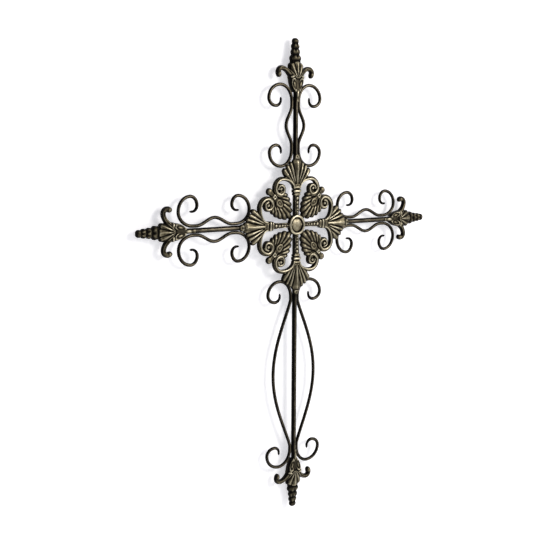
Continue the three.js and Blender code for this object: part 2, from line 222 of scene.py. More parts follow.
# How much further along the arm each scroll's inner and outer curl stand than the sizes above say, and how
# wide those two curls are beside the standard one: bent by hand, no two are quite alike.
BENT = {
    "top_left": (2.5, 0, 1, 1.03),
    "top_right": (2.5, 0, 1, 1),
    "bottom_right": (-1, -3, 1.07, 1.04),
    "bottom_left": (-1.5, -1, 1.045, 1.07),
    "left_lower": (-0.8, 0, 1, 1),
    "left_upper": (-0.8, 0, 0.97, 1),
    "right_upper": (0, 0, 0.935, 0.935),
    "right_lower": (0, 0, 1, 1),
}
SIDES_OF = {
    "top": ("left", "right"),
    "bottom": ("right", "left"),
    "left": ("lower", "upper"),
    "right": ("upper", "lower"),
}


def quarter_turns(start, heading, side, quarters, steps):
    """A chain of quarter turns in plan: each carries on by its reach while it swings to one side."""
    at, (ha, hc) = np.array(start, float), heading
    points = [at]
    for reach, swing in quarters:
        na, nc = -hc * side, ha * side
        for i in range(1, steps + 1):
            t = i / steps * math.pi / 2
            ahead, aside = reach * math.sin(t), swing * (1 - math.cos(t))
            points.append(at + [ha * ahead + na * aside, hc * ahead + nc * aside])
        at = points[-1]
        ha, hc = na, nc
    return points


def curl(start, way, width):
    """The open curl, from where it leaves the straight bar to its tip."""
    path = quarter_turns((start, 0), (way, 0), way, zip(CURL_REACH, CURL_SWING), CURL_STEPS)
    path += [path[-1] + [way * CURL_TAIL * k / 3, 0] for k in (1, 2, 3)]
    return [(along, SCROLL_OFFSET + across * width) for along, across in path]


def even(path, step):
    """The same path with its points set evenly, and how far along it each of them lies."""
    path = np.asarray(path, float)
    length = np.concatenate([[0], np.cumsum(np.linalg.norm(np.diff(path, axis=0), axis=1))])
    at = np.linspace(0, length[-1], int(length[-1] / step) + 1)
    return np.stack([np.interp(at, length, path[:, k]) for k in (0, 1)], 1), at


def scroll_plan(tip, bow, bent):
    """The whole scroll in plan, from inner tip to outer tip, with its radius at each point."""
    inner, outer, inner_width, outer_width = bent
    start, end = CURL_START + inner, tip - CURL_END_FROM_TIP + outer
    swell, sharpness = bow
    t = np.linspace(0, 1, BOW_STEPS)
    along = start + RUN + (end - start - 2 * RUN) * t
    across = SCROLL_OFFSET + swell * np.sin(math.pi * t) ** sharpness
    middle = np.stack([along, across], 1)
    path, at = even([*curl(start, -1, inner_width)[::-1], *middle, *curl(end, 1, outer_width)], SCROLL_STEP)
    from_tip = np.minimum(at, at[-1] - at)
    radii = CURL_TIP_R + (SCROLL_R - CURL_TIP_R) * np.minimum(1, from_tip / TAPER)
    nose = np.clip(from_tip / CURL_TIP_R, 0, 1)
    return path, radii * np.sqrt(np.maximum(1 - (1 - nose) ** 2, BLUNT))


for arm, names in SIDES_OF.items():
    tip, bow = (FOOT_ARM, FOOT_BOW) if arm == "bottom" else (ARM, BOW)
    for side, which in zip((1, -1), names):
        path, radii = scroll_plan(tip, bow, BENT[f"{arm}_{which}"])
        points, faces = bar(path * [1, side], SCROLL_R, radii, SCROLL_SIDES)
        # painted highlight along the scroll's front and painted shade at its sides
        rub_and_painted_light = painted_bar_light(points, SCROLL_R, SCROLL_R)
        placed = arm_to_wall(points, TURN[arm])
        piece(f"{arm}_scroll_bar_{which}", placed, faces, rub_and_painted_light, IRON, f"{arm}_scroll_{which}")

# Medallion
# One openwork casting over the crossing: a dished hub, four pearled spokes with collars, four shells over the
# bars, C-scrolls that end in volutes, and a palmette in each corner. Sand-cast iron with an antique bronze
# finish, dark in the hollows and rubbed to a pale brass-grey on the crests. The bars lie in its flat back.

ROD_FRONT = 2 * ROD_R + GAP
SEAT = 4.8  # how deep the bars are let into the grooves of the casting's flat back
CAST_BACK = ROD_FRONT - SEAT
SHELL_BACK = 2 * SCROLL_R + GAP  # clear of the scrolls that pass behind the shells
SHELL_BACK_START, SHELL_BACK_FAN = 88, 0.95  # from the crossing, and how fast it widens from the shell's root
PITCH = 0.8  # size of a face
THIN = 1.5  # least thickness of a casting
SOFT = 0.55  # how many faces wide its edges are smoothed
PROBE = 0.05  # step by which the slope of a form is measured
FLAT_RUB, LIGHTENED_BACK = 0.45, 0.4  # how far a flat place of the front is rubbed, and how pale the plain back is painted, lighter to stand in for light
FINE, BROAD = (1.6, 0.52), (5, 0.1)  # how far around it a place stands out, and what that adds to its rub
RIM_SHADE = 0.35  # how much of its rub the rim keeps, so that the rim and the sides below it are painted in shade
MEDALLION_RUB, HUB_HIGHLIGHT, CORNER_RUB = 0.04, 0.26, -0.05  # what is added to its rub: by handling all over, a painted highlight on the hub's floor, and less rubbing in the corners


def dome(share):
    """A rounded section: 1 in the middle, 0 at share 1 and beyond."""
    return np.sqrt(np.clip(1 - share**2, 0, 1))


def shoulder(inset, width):
    """Rises from 0 at the edge to 1 at an inset of width."""
    return dome(1 - np.clip(inset / width, 0, 1))


def ridge_at(share, place, width):
    """A narrow rounded ridge at one place of a share."""
    return np.exp(-(((share - place) / width) ** 2))


def table_at(table, place):
    """What a table of [place, value] gives at a place."""
    return np.interp(place, *zip(*table))


def along_path(path, u, v):
    """For each point, its signed distance from a path and how far along the path it lies."""
    best = np.full(u.shape, 1e9)
    off, far = np.zeros(u.shape), np.zeros(u.shape)
    run = 0.0
    for (a, b), (c, d) in zip(path[:-1], path[1:]):
        length = math.hypot(c - a, d - b)
        if length < 1e-9:
            continue
        du, dv = (c - a) / length, (d - b) / length
        t = np.clip((u - a) * du + (v - b) * dv, 0, length)
        gap = np.hypot(u - a - t * du, v - b - t * dv)
        near = gap < best
        best = np.where(near, gap, best)
        off = np.where(near, np.where((v - b) * du - (u - a) * dv >= 0, gap, -gap), off)
        far = np.where(near, run + t, far)
        run += length
    return off, far


def rounded(points, times):
    """A line through a few points, with its corners cut again and again until it runs smooth."""
    points = np.asarray(points, float)
    for _ in range(times):
        a, b = points[:-1], points[1:]
        cut = np.stack([0.75 * a + 0.25 * b, 0.25 * a + 0.75 * b], 1).reshape(-1, points.shape[1])
        points = np.concatenate([points[:1], cut, points[-1:]])
    return points


def blurred(values, mask, sigma):
    """values smoothed over sigma cells, taking in only the cells of mask."""
    reach = int(3 * sigma) + 1
    weights = np.exp(-0.5 * (np.arange(-reach, reach + 1) / sigma) ** 2)
    both = np.stack([np.where(mask, values, 0.0), mask.astype(float)])
    for axis in (1, 2):
        out = np.zeros_like(both)
        for k, w in zip(range(-reach, reach + 1), weights):
            out += w * np.roll(both, k, axis)
        both = out
    return both[0] / np.maximum(both[1], 1e-9)


def onto_outline(form, u, v, pitch):
    """Points near the outline of a form, drawn onto it bit by bit, none by more than most of the pitch."""
    most = 0.7 * pitch
    ru, rv = u, v
    for _ in range(4):
        inside = 0.8 * form(ru, rv)[0]
        fu = (form(ru + PROBE, rv)[0] - form(ru - PROBE, rv)[0]) / (2 * PROBE)
        fv = (form(ru, rv + PROBE)[0] - form(ru, rv - PROBE)[0]) / (2 * PROBE)
        slope = np.maximum(fu**2 + fv**2, 0.25)  # a nearly flat place would throw a point far off
        du, dv = ru - inside * fu / slope - u, rv - inside * fv / slope - v
        share = np.minimum(1, most / np.maximum(np.hypot(du, dv), 1e-9))
        ru, rv = u + du * share, v + dv * share
    return ru, rv


def cells_of(form, u, v, pitch):
    """Which cells of a grid lie inside a form, which points they use, and which of these are the rim."""
    cells = form(u[:-1, :-1] + pitch / 2, v[:-1, :-1] + pitch / 2)[0] > 0
    for _ in range(4):  # no two cells may meet at a corner alone
        a, b, c, d = cells[:-1, :-1], cells[1:, :-1], cells[:-1, 1:], cells[1:, 1:]
        cells[:-1, :-1] |= ~a & b & c & ~d
        cells[1:, :-1] |= a & ~b & ~c & d
    used = np.zeros(u.shape, bool)
    whole = np.ones(u.shape, bool)
    for i, j in ((0, 0), (1, 0), (0, 1), (1, 1)):
        corner = np.zeros(u.shape, bool)
        corner[i : i + cells.shape[0], j : j + cells.shape[1]] = cells
        used |= corner
        whole &= corner
    return cells, used, used & ~whole


def closed_faces(cells, used):
    """The faces of a front, of the back that follows it in the list of points, and of the sides between."""
    total = int(used.sum())
    index = -np.ones(used.shape, int)
    index[used] = np.arange(total)
    i, j = np.nonzero(cells)
    a, b, c, d = index[i, j], index[i + 1, j], index[i + 1, j + 1], index[i, j + 1]
    front = np.stack([a, b, c, d], 1)
    sides = []
    padded = np.pad(cells, 1)
    for di, dj, p, q in ((-1, 0, d, a), (1, 0, b, c), (0, -1, a, b), (0, 1, c, d)):
        bare = ~padded[i + 1 + di, j + 1 + dj]
        sides.append(np.stack([q[bare], p[bare], p[bare] + total, q[bare] + total], 1))
    return np.concatenate([front, front[:, ::-1] + total, *sides])


def casting(form, under, extra_rub_and_light, low, high, pitch):
    """A closed mesh between a carved front and a plain back. form gives how far inside the outline a point of
    the plan is and the depth of the front there, under gives the depth of the back, and handled how much more
    than its shape says a place is rubbed or lit by a painted highlight. Returns points, faces and rub, which
    also holds painted shade on the rim and a back painted lighter."""
    count = [int((high[k] - low[k]) / pitch) + 1 for k in (0, 1)]
    u, v = np.meshgrid(*[low[k] + pitch * np.arange(count[k]) for k in (0, 1)], indexing="ij")
    cells, used, rim = cells_of(form, u, v, pitch)
    pu, pv = u.copy(), v.copy()
    pu[rim], pv[rim] = onto_outline(form, u[rim], v[rim], pitch)
    back = under(pu, pv)
    front = np.where(used, np.maximum(form(pu, pv)[1], back + THIN), 0)
    front = np.where(rim, front, np.maximum(blurred(front, used, SOFT), back + THIN))
    rub_and_painted_light = FLAT_RUB + extra_rub_and_light(pu, pv)
    for around, strength in (FINE, BROAD):
        rub_and_painted_light = rub_and_painted_light + strength * (front - blurred(front, used, around / pitch))
    # painted shade on the rim: its rub is cut to RIM_SHADE, and the sides carry that down to the back
    rub_and_painted_light = np.clip(np.where(rim, rub_and_painted_light * RIM_SHADE, rub_and_painted_light), 0, 1)[used]
    points = [np.stack([pu[used], depth[used], pv[used]], 1) for depth in (front, back)]
    # the plain back is painted lighter, at LIGHTENED_BACK, to stand in for the light it lacks
    return np.concatenate(points), closed_faces(cells, used), np.append(rub_and_painted_light, np.full(len(rub_and_painted_light), LIGHTENED_BACK))


def merged(forms, u):
    """The union of several forms: how far inside it a point is, and the highest front there."""
    seam = -0.3  # a form still counts this far outside its own edge
    inside = np.full(u.shape, -1e9)
    front = np.full(u.shape, -1e9)
    for f, h in forms:
        both = (f > seam) & (inside > seam)
        front = np.where(both, np.maximum(front, h), np.where(f > inside, h, front))
        inside = np.maximum(inside, f)
    return inside, front


HUB_R = 19.3
HUB = [
    (0, 7), (6, 6.8), (10, 6.2), (12.6, 5.4), (13.6, 5.2), (14.3, 7.4), (15.2, 8.7), (16.4, 8.9), (17.2, 8.2),
    (17.8, 8.5), (18.6, 8), (HUB_R, 6),
]  # [radius, height]
HUB_FLOOR = (12.8, 1.6)  # radius of its floor, and how far in from there its painted highlight grows to its full


def hub_form(x, z):
    r = np.hypot(x, z)
    return HUB_R - r, table_at(HUB, r)


SPOKE = [(14, 4.1), (36, 4.7), (55, 6), (75, 6)]  # [along, half width]
SPOKE_START, SPOKE_END = 17, 76
SPOKE_FLOOR = 5.2
SPOKE_RIM = (1.3, 2.4)  # width and height of the rim on each side of the pearls
CHANNEL = (54, 2.2)  # where the channel of the pearls ends, and its depth
STEP_EDGE = 0.9  # how wide the edge of the rim is rounded
# [along, half length, half width, height]
COLLARS = [(57.8, 2.2, 8.2, 8.6), (63.6, 2.9, 9.2, 9.9), (70.6, 2.4, 8.2, 8.8)]
COLLAR_RISE = 3.6
PEARLS = [(20.2, 1.4), (24.4, 1.7), (29.4, 2.1), (35.4, 2.5), (42.2, 3), (50.2, 3.6)]  # [along, radius]
PEARL_RISE = 2.9


def spoke_forms(u, v):
    half = table_at(SPOKE, u)
    inside = np.minimum(half - v, np.minimum(u - SPOKE_START, SPOKE_END - u))
    channel = shoulder(half - SPOKE_RIM[0] - v, STEP_EDGE) * (u < CHANNEL[0])
    height = SPOKE_FLOOR + SPOKE_RIM[1] * shoulder(half - v, STEP_EDGE) - CHANNEL[1] * channel
    forms = [(inside, height)]
    for at, r in PEARLS:
        d = np.hypot(u - at, v)
        forms.append((r - d, SPOKE_FLOOR + PEARL_RISE * dome(d / r)))
    for at, length, width, top in COLLARS:
        d = np.abs(u - at)
        section = dome(d / length) * dome(v / width) ** 0.5
        forms.append((np.minimum(length - d, width - v), top - COLLAR_RISE + COLLAR_RISE * section))
    return forms


BAND_START = (70, 6.5)
BAND_TURNS = [(17, 26.5), (18.5, 18), (12, 13), (8.6, 11.4), (6.9, 8.7), (6.2, 6.9)]  # [reach, swing]
BAND_STEPS = 8  # points on a quarter turn
BAND_WIDTH = [(0, 2.8), (32, 3.8), (60, 4), (80, 3.7), (95, 3.2), (112, 2.5), (150, 1.7)]  # [along, half]
BAND_FLOOR = 4.8
# The thick bead on one side of the band and the thin rim on the other: where each stands and how wide it is,
# as shares of the band's half width, and how high.
BAND_BEAD, BAND_RIM = (0.24, 0.74, 3.6), (-0.74, 0.2, 2.8)
EYE = (68.4, 38.6)  # middle of the volute
EYE_DISC = (9.6, 3.8)  # radius and height
EYE_BALL = (3.3, 4.4, 4.2)  # radius, height at its edge, and rise


def band_forms(u, v):
    """The C-scroll, which runs out of the spoke's foot and ends in a volute with a ball in its eye."""
    path = quarter_turns(BAND_START, (1, 0), 1, BAND_TURNS, BAND_STEPS)
    off, far = along_path(path, u, v)
    half = table_at(BAND_WIDTH, far)
    share = off / half
    bead = BAND_BEAD[2] * dome(np.clip(np.abs(share - BAND_BEAD[0]) / BAND_BEAD[1], 0, 1))
    rim = BAND_RIM[2] * ridge_at(share, *BAND_RIM[:2])
    disc = np.hypot(u - EYE[0], v - EYE[1])
    return [
        (half - np.abs(off), BAND_FLOOR + np.maximum(bead, rim)),
        (EYE_DISC[0] - disc, EYE_DISC[1] + 0 * disc),
        (EYE_BALL[0] - disc, EYE_BALL[1] + EYE_BALL[2] * dome(disc / EYE_BALL[0])),
    ]


def fan_forms(along, across, lobes, crest, merge, notch, groove, rib):
    """The lobes of a leaf that fan from its root. Each is [angle, half angle, reach, bend]: it leaves the
    root at its angle plus the bend, and sweeps back by the bend as it goes. crest is a table of its height at
    shares of its reach, merge how far its sides run under the next, notch how far its tip falls back at them,
    groove how much of its height is lost between two lobes, and rib the height of a thin rib down it."""
    r, angle = np.hypot(along, across), np.degrees(np.arctan2(across, along))
    forms = []
    for centre, wide, reach, bend in lobes:
        out = r / reach
        share = np.abs(angle - centre - bend * np.clip(1 - out, 0, 1)) / wide
        tip = reach - notch * np.minimum(share, 1.2) ** 2.4 - r
        inside = np.minimum(tip, (merge - share) * np.radians(wide) * r)
        height = table_at(crest, out) * (1 - groove + groove * dome(0.96 * share))
        forms.append((inside, height + rib * ridge_at(share, 0, 0.24) * np.clip(8 - 8 * out, 0, 1)))
    return forms


SHELL_ROOT = 68
SHELL_START, SHELL_END = 72, 132.4
SHELL_SIDE = 2.4  # height of the middle leaf at its sides
leaf_points = [
    (73, 2.6), (92, 4.6), (106, 7.8), (113, 10.2), (118, 10.8), (122, 9), (124.4, 6.4), (126, 6.8),
    (129, 6.2), (131, 4.8), (132, 2.5),
]
SHELL_LEAF = rounded(leaf_points, 2)  # [along, half width]
SHELL_RIDGE = [
    (73, 7.4), (92, 8.7), (108, 9.2), (117, 8.8), (122.4, 7), (123.4, 6.2), (124.8, 8.3), (126.6, 7.4),
    (132, 6),
]  # [along, height]
VEINS = (84, 20, 121)  # where the veins begin, over what length they rise, and where they end
MIDRIB, SIDE_VEIN = (0.9, 0.7), (0.5, 0.12, 0.4)  # width and height; place and width as shares, and depth
DIMPLE = (127.2, 1.9, 2.4)  # where it stands, its radius and its depth
SHELL_LOBES = [(16.6, 6, 53, 2), (27.6, 5.8, 51.4, 4), (40, 7.6, 49.4, 6)]  # as fan_forms takes them
SHELL_CREST = [(0, 5.4), (0.3, 7), (0.7, 7.6), (0.92, 6), (1, 3.2)]  # [share of reach, height]


def shell_forms(u, v):
    """The shell: a long middle leaf with a dimpled tip, between three lobes on each side."""
    half = table_at(SHELL_LEAF, u)
    inside = np.minimum(half - v, np.minimum(u - SHELL_START, SHELL_END - u))
    section = dome(np.clip(v / np.maximum(half, 0.1), 0, 1)) ** 0.9
    height = SHELL_SIDE + (table_at(SHELL_RIDGE, u) - SHELL_SIDE) * section
    veins = (u < VEINS[2]) * np.clip((u - VEINS[0]) / VEINS[1], 0, 1)
    height = height + veins * MIDRIB[1] * ridge_at(v, 0, MIDRIB[0])
    height = height - veins * SIDE_VEIN[2] * ridge_at(v / half, *SIDE_VEIN[:2])
    dimple = np.hypot(u - DIMPLE[0], v) / DIMPLE[1]
    forms = [(inside, height - DIMPLE[2] * dome(dimple))]
    lobes = fan_forms(
        u - SHELL_ROOT, v, SHELL_LOBES, SHELL_CREST, merge=1.15, notch=7.5, groove=0.6, rib=0.6
    )
    return forms + [(np.minimum(f, u - SHELL_START), h) for f, h in lobes]


FAN_ROOT = 76
FAN_REACH = [(0, 58), (11.5, 51.5), (24.5, 44), (39, 37.4), (56, 30.5), (74, 25.5)]  # [angle, reach]
FAN_ANGLES = [(0, 5.4), (11, 6), (23, 6.4), (36, 7), (50.5, 7.8), (67, 9)]  # [angle, half angle]
FAN_BEND = 0.22  # how far a lobe sweeps back, for each degree that it stands off the middle
FAN_LOBES = [(at, wide, table_at(FAN_REACH, at), FAN_BEND * at) for at, wide in FAN_ANGLES]
FAN_CREST = [(0, 4.6), (0.45, 5.4), (0.55, 6.6), (0.8, 7.2), (1, 4.6)]  # [share of reach, height]
BOSS = (58.5, 9.6, 6.6, 0.22)  # where the teardrop boss stands, its half sizes, and how much it widens
BOSS_SIDE = 5.2
BOSS_RISES = [(1, 2.6), (0.66, -1.6), (0.34, 0.8)]  # rings and hollows in it: [share of its size, rise]
STEM = (66, 88, 4.4, 4.4, 2)  # from, to, half width, height at its sides and rise
STUD = (76, 4.2, 6, 2.2)  # where it stands, half its width, height at its sides and rise
STUD_EDGE, STUD_HOLE = 1.4, (1.6, 2)  # how wide its edge is rounded; radius and depth of the hole in it
BUD = (90, 6.8, 3, 4)  # where it stands, its radius, height at its sides and rise


def palmette_forms(u, v):
    """The palmette, which points at the hub: ribbed lobes, a boss on them, a square stud and a bud."""
    s, w = (u + v) / math.sqrt(2), (u - v) / math.sqrt(2)
    forms = fan_forms(FAN_ROOT - s, w, FAN_LOBES, FAN_CREST, merge=1.45, notch=4.4, groove=0.42, rib=0.4)
    on = (s - BOSS[0]) / BOSS[1]
    d = np.hypot(on, w / (BOSS[2] * (1 + BOSS[3] * np.clip(on, -1, 1))))
    forms.append(((1 - d) * BOSS[2], BOSS_SIDE + sum(rise * dome(d / size) for size, rise in BOSS_RISES)))
    stem = np.minimum(STEM[2] - w, np.minimum(s - STEM[0], STEM[1] - s))
    forms.append((stem, STEM[3] + STEM[4] * shoulder(stem, 2)))
    stud = np.maximum(np.abs(s - STUD[0]), w)
    height = STUD[2] + STUD[3] * shoulder(STUD[1] - stud, STUD_EDGE)
    forms.append((STUD[1] - stud, height - STUD_HOLE[1] * dome(stud / STUD_HOLE[0])))
    bud = np.hypot(s - BUD[0], w) / BUD[1]
    forms.append(((1 - bud) * BUD[1], BUD[2] + BUD[3] * dome(bud)))
    return forms


def folded(x, z):
    """A point of the whole medallion as [along, across] of the one eighth of it that is carved."""
    return np.maximum(np.abs(x), np.abs(z)), np.minimum(np.abs(x), np.abs(z))


def medallion_form(x, z):
    u, v = folded(x, z)
    forms = [hub_form(x, z), *spoke_forms(u, v), *band_forms(u, v), *shell_forms(u, v), *palmette_forms(u, v)]
    inside, front = merged(forms, u)
    return inside, CAST_BACK + front


def bar_groove(across, back):
    """The back of a casting, hollowed for a bar that runs under it."""
    r = ROD_R + GAP
    return np.maximum(back, np.where(across < r, ROD_R + np.sqrt(np.clip(r * r - across**2, 0, None)), 0))


def medallion_under(x, z):
    """The back is flat, deeper in the hub and the corners than in the shells."""
    u, v = folded(x, z)
    shell = (u > SHELL_BACK_START) & (v < (u - SHELL_ROOT) * SHELL_BACK_FAN)
    return bar_groove(v, np.where(shell, SHELL_BACK, CAST_BACK))


# Where the duller corners begin, from the bars, and end, from the crossing, and the length of each change.
CORNER_START, CORNER_END = (10, 4), (96, 10)


def medallion_rub_and_highlight(x, z):
    """The floor of the hub is painted as bright as the crests, a painted highlight, and the corners are
    rubbed less than the rest.
    """
    u, v = folded(x, z)
    # painted highlight: the hub's dished floor is painted as bright as the crests
    floor = np.clip((HUB_FLOOR[0] - np.hypot(x, z)) / HUB_FLOOR[1], 0, 1)
    corner = np.clip((v - CORNER_START[0]) / CORNER_START[1], 0, 1)
    corner = corner * np.clip((CORNER_END[0] - u) / CORNER_END[1], 0, 1)
    return MEDALLION_RUB + HUB_HIGHLIGHT * floor + CORNER_RUB * corner


# Cast iron with an antique bronze finish: brown-black hollows, olive-brown faces and pale rubbed crests. The
# rubbing is uneven, in patches of about 9 mm, over the 1.2 mm tooth that the sand leaves.
CAST = bronzed(
    "cast_iron_antique_bronze",
    [(0.0, "040302"), (0.25, "14110c"), (0.5, "423d31"), (0.75, "807863"), (1.0, "c9c1aa")],
    cloud=(9, 0.4),
    grain=(1.2, 0.25),
    reach=(0.35, 1.25),
    roughness=(0.6, 0.34),
    bump=(0.4, 0.3),
)

EDGE = SHELL_END + 2  # how far out the plan is looked at
points, faces, rub_and_painted_light = casting(
    medallion_form, medallion_under, medallion_rub_and_highlight, (-EDGE, -EDGE), (EDGE, EDGE), PITCH
)
piece("medallion_casting", arm_to_wall(points, 0), faces, rub_and_painted_light, CAST, "medallion")

# Finials
# Four alike castings, one on each end of the bars: a cone of scaly tiers, an acanthus leaf lapped over its
# foot, a bell-shaped calyx at each side with a leaf that curls out of its mouth to a knob, and a long bead on
# the bar. Cast and finished as the medallion is, and rubbed less.

FINIAL_PITCH = 0.52
FINIAL_HALF = 45  # half its width, knob to knob
MARGIN = 1.2  # how far beyond its outline the plan is looked at
TIERS = [(14.6, 8.6, 8.8), (25.2, 9.8, 9.6), (36.4, 12.6, 10.4)]  # [from the tip, half width, height]
TIER_LENGTH = 10.6
SCALES = (9, 43)  # from the tip, where the scales begin and end
core_points = [(0, 2.6, 4), (1.2, 4.8, 6), (3, 6.2, 7.2), (5.4, 6.9, 7.8), (8, 6.6, 7.4), (10, 5.7, 6.2)]
for at, half, top in TIERS:
    core_points += [(at - 3, half - 0.9, top - 0.9), (at, half, top)]
    core_points += [(at + 2.8, half - 0.4, top - 0.5), (at + 5, half - 1.8, top - 2.2)]
core_points += [(48, 13, 8.8), (60, 12.4, 9.4), (73, 15.2, 10.2)]
core_points += [(85, 13, 11.2), (93, 9, 11.6), (98, 6.2, 12)]
CORE = rounded(core_points, 2)  # [from the tip, half width, height]
CORE_END = 99
CORE_SIDE = 3  # height of the core at its sides
SCALE_COUNT, SCALE_SHIFT, SCALE_RISE = 2.6, 0.9, 0.25  # scales across half a tier, how far they jut, and rise
FINIAL_RUB, AWAY_RUB = -0.05, -0.2  # what handling adds to its rub: all over, and out at its ends


def cone_forms(t, w):
    """The tiered cone, and the smooth core behind it that carries the leaf and the calyces."""
    stations, halves, tops = CORE.T
    half = np.interp(t, stations, halves)
    share = np.clip(w / half, 0, 1)
    tier = np.floor((t + 1) / TIER_LENGTH)
    scale = np.cos((share * SCALE_COUNT + tier % 2) * math.pi) * (t < SCALES[1]) * (t > SCALES[0])
    top = np.interp(t + SCALE_SHIFT * scale, stations, tops)
    low = np.minimum(CORE_SIDE, top)
    height = low + (top - low) * dome(share) ** 0.8 + SCALE_RISE * scale
    return [(np.minimum(half - w, np.minimum(t, CORE_END - t)), height)]


LEAF_ROOT, LEAF_START = 74.5, 73
LEAF_LOBES = [(0, 13, 33, 0), (25, 11, 31.6, 4), (46, 10, 25, 8)]  # as fan_forms takes them
LEAF_CREST = [(0, 12.8), (0.3, 12.8), (0.75, 11.6), (0.93, 10.6), (1, 8)]  # [share of reach, height]
LEAF_FALL = (3.2, 16)  # how far the leaf falls away, and at what distance from the middle


def leaf_forms(t, w):
    fall = LEAF_FALL[0] * (w / LEAF_FALL[1]) ** 2
    lobes = fan_forms(
        LEAF_ROOT - t, w, LEAF_LOBES, LEAF_CREST, merge=1.3, notch=4.4, groove=0.17, rib=0.7
    )
    return [(np.minimum(f, LEAF_START - t), h - fall) for f, h in lobes]


CALYX_START, CALYX_END = np.array([98, 3.6]), np.array([69, 11.6])  # [from the tip, across]
CALYX_LENGTH = np.hypot(*(CALYX_END - CALYX_START))
CALYX_HALF = [(0, 2), (6, 4.4), (12, 5.9), (18, 6.3), (25, 5.7), (31, 5.7)]  # [along, half width]
CALYX_TOP = [(0, 11.6), (8, 13), (20, 13), (CALYX_LENGTH, 12.6)]  # [along, height]
CALYX_SIDE = 6.6
LIP = (1.4, 1.2, 0.5)  # the lip at its mouth: how far in it stands, its width and its height
THROAT = (4.1, 0.9, 1.2)  # the groove behind the lip, likewise, with its depth
CUP = (14, 10, 4.7)  # centre of the calyx's oval hollow from its narrow end, and its two half sizes
CUP_DEPTH, CUP_SEED = 2.4, (0.5, 1.3)  # its depth, and the size of the seed in it, as a share, and its rise
CUP_RIM = (1.08, 0.18, 0.6)  # place and width of its rim as shares of its size, and height


def calyx_forms(t, w):
    run = (CALYX_END - CALYX_START) / CALYX_LENGTH
    p = (t - CALYX_START[0]) * run[0] + (w - CALYX_START[1]) * run[1]
    q = (t - CALYX_START[0]) * -run[1] + (w - CALYX_START[1]) * run[0]
    wide = table_at(CALYX_HALF, p)
    section = dome(np.clip(np.abs(q) / wide, 0, 1) * 0.97)
    height = CALYX_SIDE + (table_at(CALYX_TOP, p) - CALYX_SIDE) * section
    height = height + LIP[2] * ridge_at(p, CALYX_LENGTH - LIP[0], LIP[1])
    height = height - THROAT[2] * ridge_at(p, CALYX_LENGTH - THROAT[0], THROAT[1])
    oval = np.hypot((p - CUP[0]) / CUP[1], q / CUP[2])
    height = height - CUP_DEPTH * dome(oval) + CUP_RIM[2] * ridge_at(oval, *CUP_RIM[:2])
    height = height + CUP_SEED[1] * dome(oval / CUP_SEED[0])
    return [(np.minimum(wide - np.abs(q), np.minimum(p, CALYX_LENGTH - p)), height)]


curl_points = [
    (78, 6), (70, 10.4), (64, 15), (59.4, 20), (56.4, 25), (54.8, 30), (55, 34.6), (57.4, 38), (61, 39.8),
    (65, 39.8), (67.4, 38.4),
]
SIDE_LEAF = rounded(curl_points, 2)  # [from the tip, across]
SIDE_LEAF_HALF = [(0, 4.8), (16, 4.8), (26, 4.2), (38, 4.3), (48, 4.8), (60, 5)]  # [along, half width]
SIDE_LEAF_TOP = [(0, 11.4), (10, 10.6), (20, 9.2), (34, 7.6), (60, 7.4)]  # [along, height]
SIDE_LEAF_SIDE = 2.6
FURROW = (40, 0.1, 0.16, 1.2)  # how far it runs, its place and width as shares of the leaf's, and its depth
KNOB = (65.4, 38.8, 4.9)  # where it stands, and its radius
KNOB_SIDE, KNOB_RISE = 3, 5.4


def side_leaf_forms(t, w):
    off, far = along_path(SIDE_LEAF, t, w)
    wide = table_at(SIDE_LEAF_HALF, far)
    share = np.clip(np.abs(off) / wide, 0, 1)
    furrow = FURROW[3] * ridge_at(off / wide, *FURROW[1:3]) * (far < FURROW[0])
    height = SIDE_LEAF_SIDE + (table_at(SIDE_LEAF_TOP, far) - SIDE_LEAF_SIDE) * dome(share) - furrow
    knob = np.hypot(t - KNOB[0], w - KNOB[1]) / KNOB[2]
    return [(wide - np.abs(off), height), ((1 - knob) * KNOB[2], KNOB_SIDE + KNOB_RISE * dome(knob))]


TAIL = (90, NECK - 0.4, 5.2, 8.4, 1.8)  # from, to, half width, height at its sides and rise
TAIL_TAPER = (92, 0.09)  # where the tail begins to narrow, and how much it does
BEAD = (101.6, 10, 3.7)  # where it stands, and its two half sizes
BEAD_SINK, BEAD_RISE = 1.4, 4.6  # how far its sides lie below the bar's front, and how far it rises from them


def neck_forms(t, w):
    narrowed = TAIL_TAPER[1] * np.maximum(t - TAIL_TAPER[0], 0)
    tail = np.minimum(TAIL[2] - narrowed - w, np.minimum(t - TAIL[0], TAIL[1] - t))
    bead = np.hypot((t - BEAD[0]) / BEAD[1], w / BEAD[2])
    return [
        (tail, TAIL[3] + TAIL[4] * shoulder(tail, 2)),
        ((1 - bead) * BEAD[2], ROD_FRONT - BEAD_SINK + BEAD_RISE * dome(bead)),
    ]


def finial_form(a, v):
    """a is how far a point lies past the finial's tip, which is negative, and v how far it is across."""
    t, w = -a, np.abs(v)
    forms = cone_forms(t, w) + leaf_forms(t, w) + calyx_forms(t, w) + side_leaf_forms(t, w) + neck_forms(t, w)
    return merged(forms, t)


def finial_under(a, v):
    """The back is flat on the wall, steps up where the neck lies over the bar, and is grooved for it."""
    t, w = -a, np.abs(v)
    back = np.where(t > CORE_END, ROD_R, 0.0)
    return np.where(t > NECK - SOCKET - GAP, bar_groove(w, back), back)


# Where the cone ends, from the tip, and a side leaf begins, from the middle, and the length of each change.
CONE_END, SIDE_START = (44, 4), (14, 6)


def finial_handled(a, v):
    """Out at the ends the finish is less rubbed: on the cone, and on the curled side leaves."""
    cone = np.clip((CONE_END[0] + a) / CONE_END[1], 0, 1)
    side = np.clip((np.abs(v) - SIDE_START[0]) / SIDE_START[1], 0, 1)
    return FINIAL_RUB + AWAY_RUB * np.maximum(cone, side)


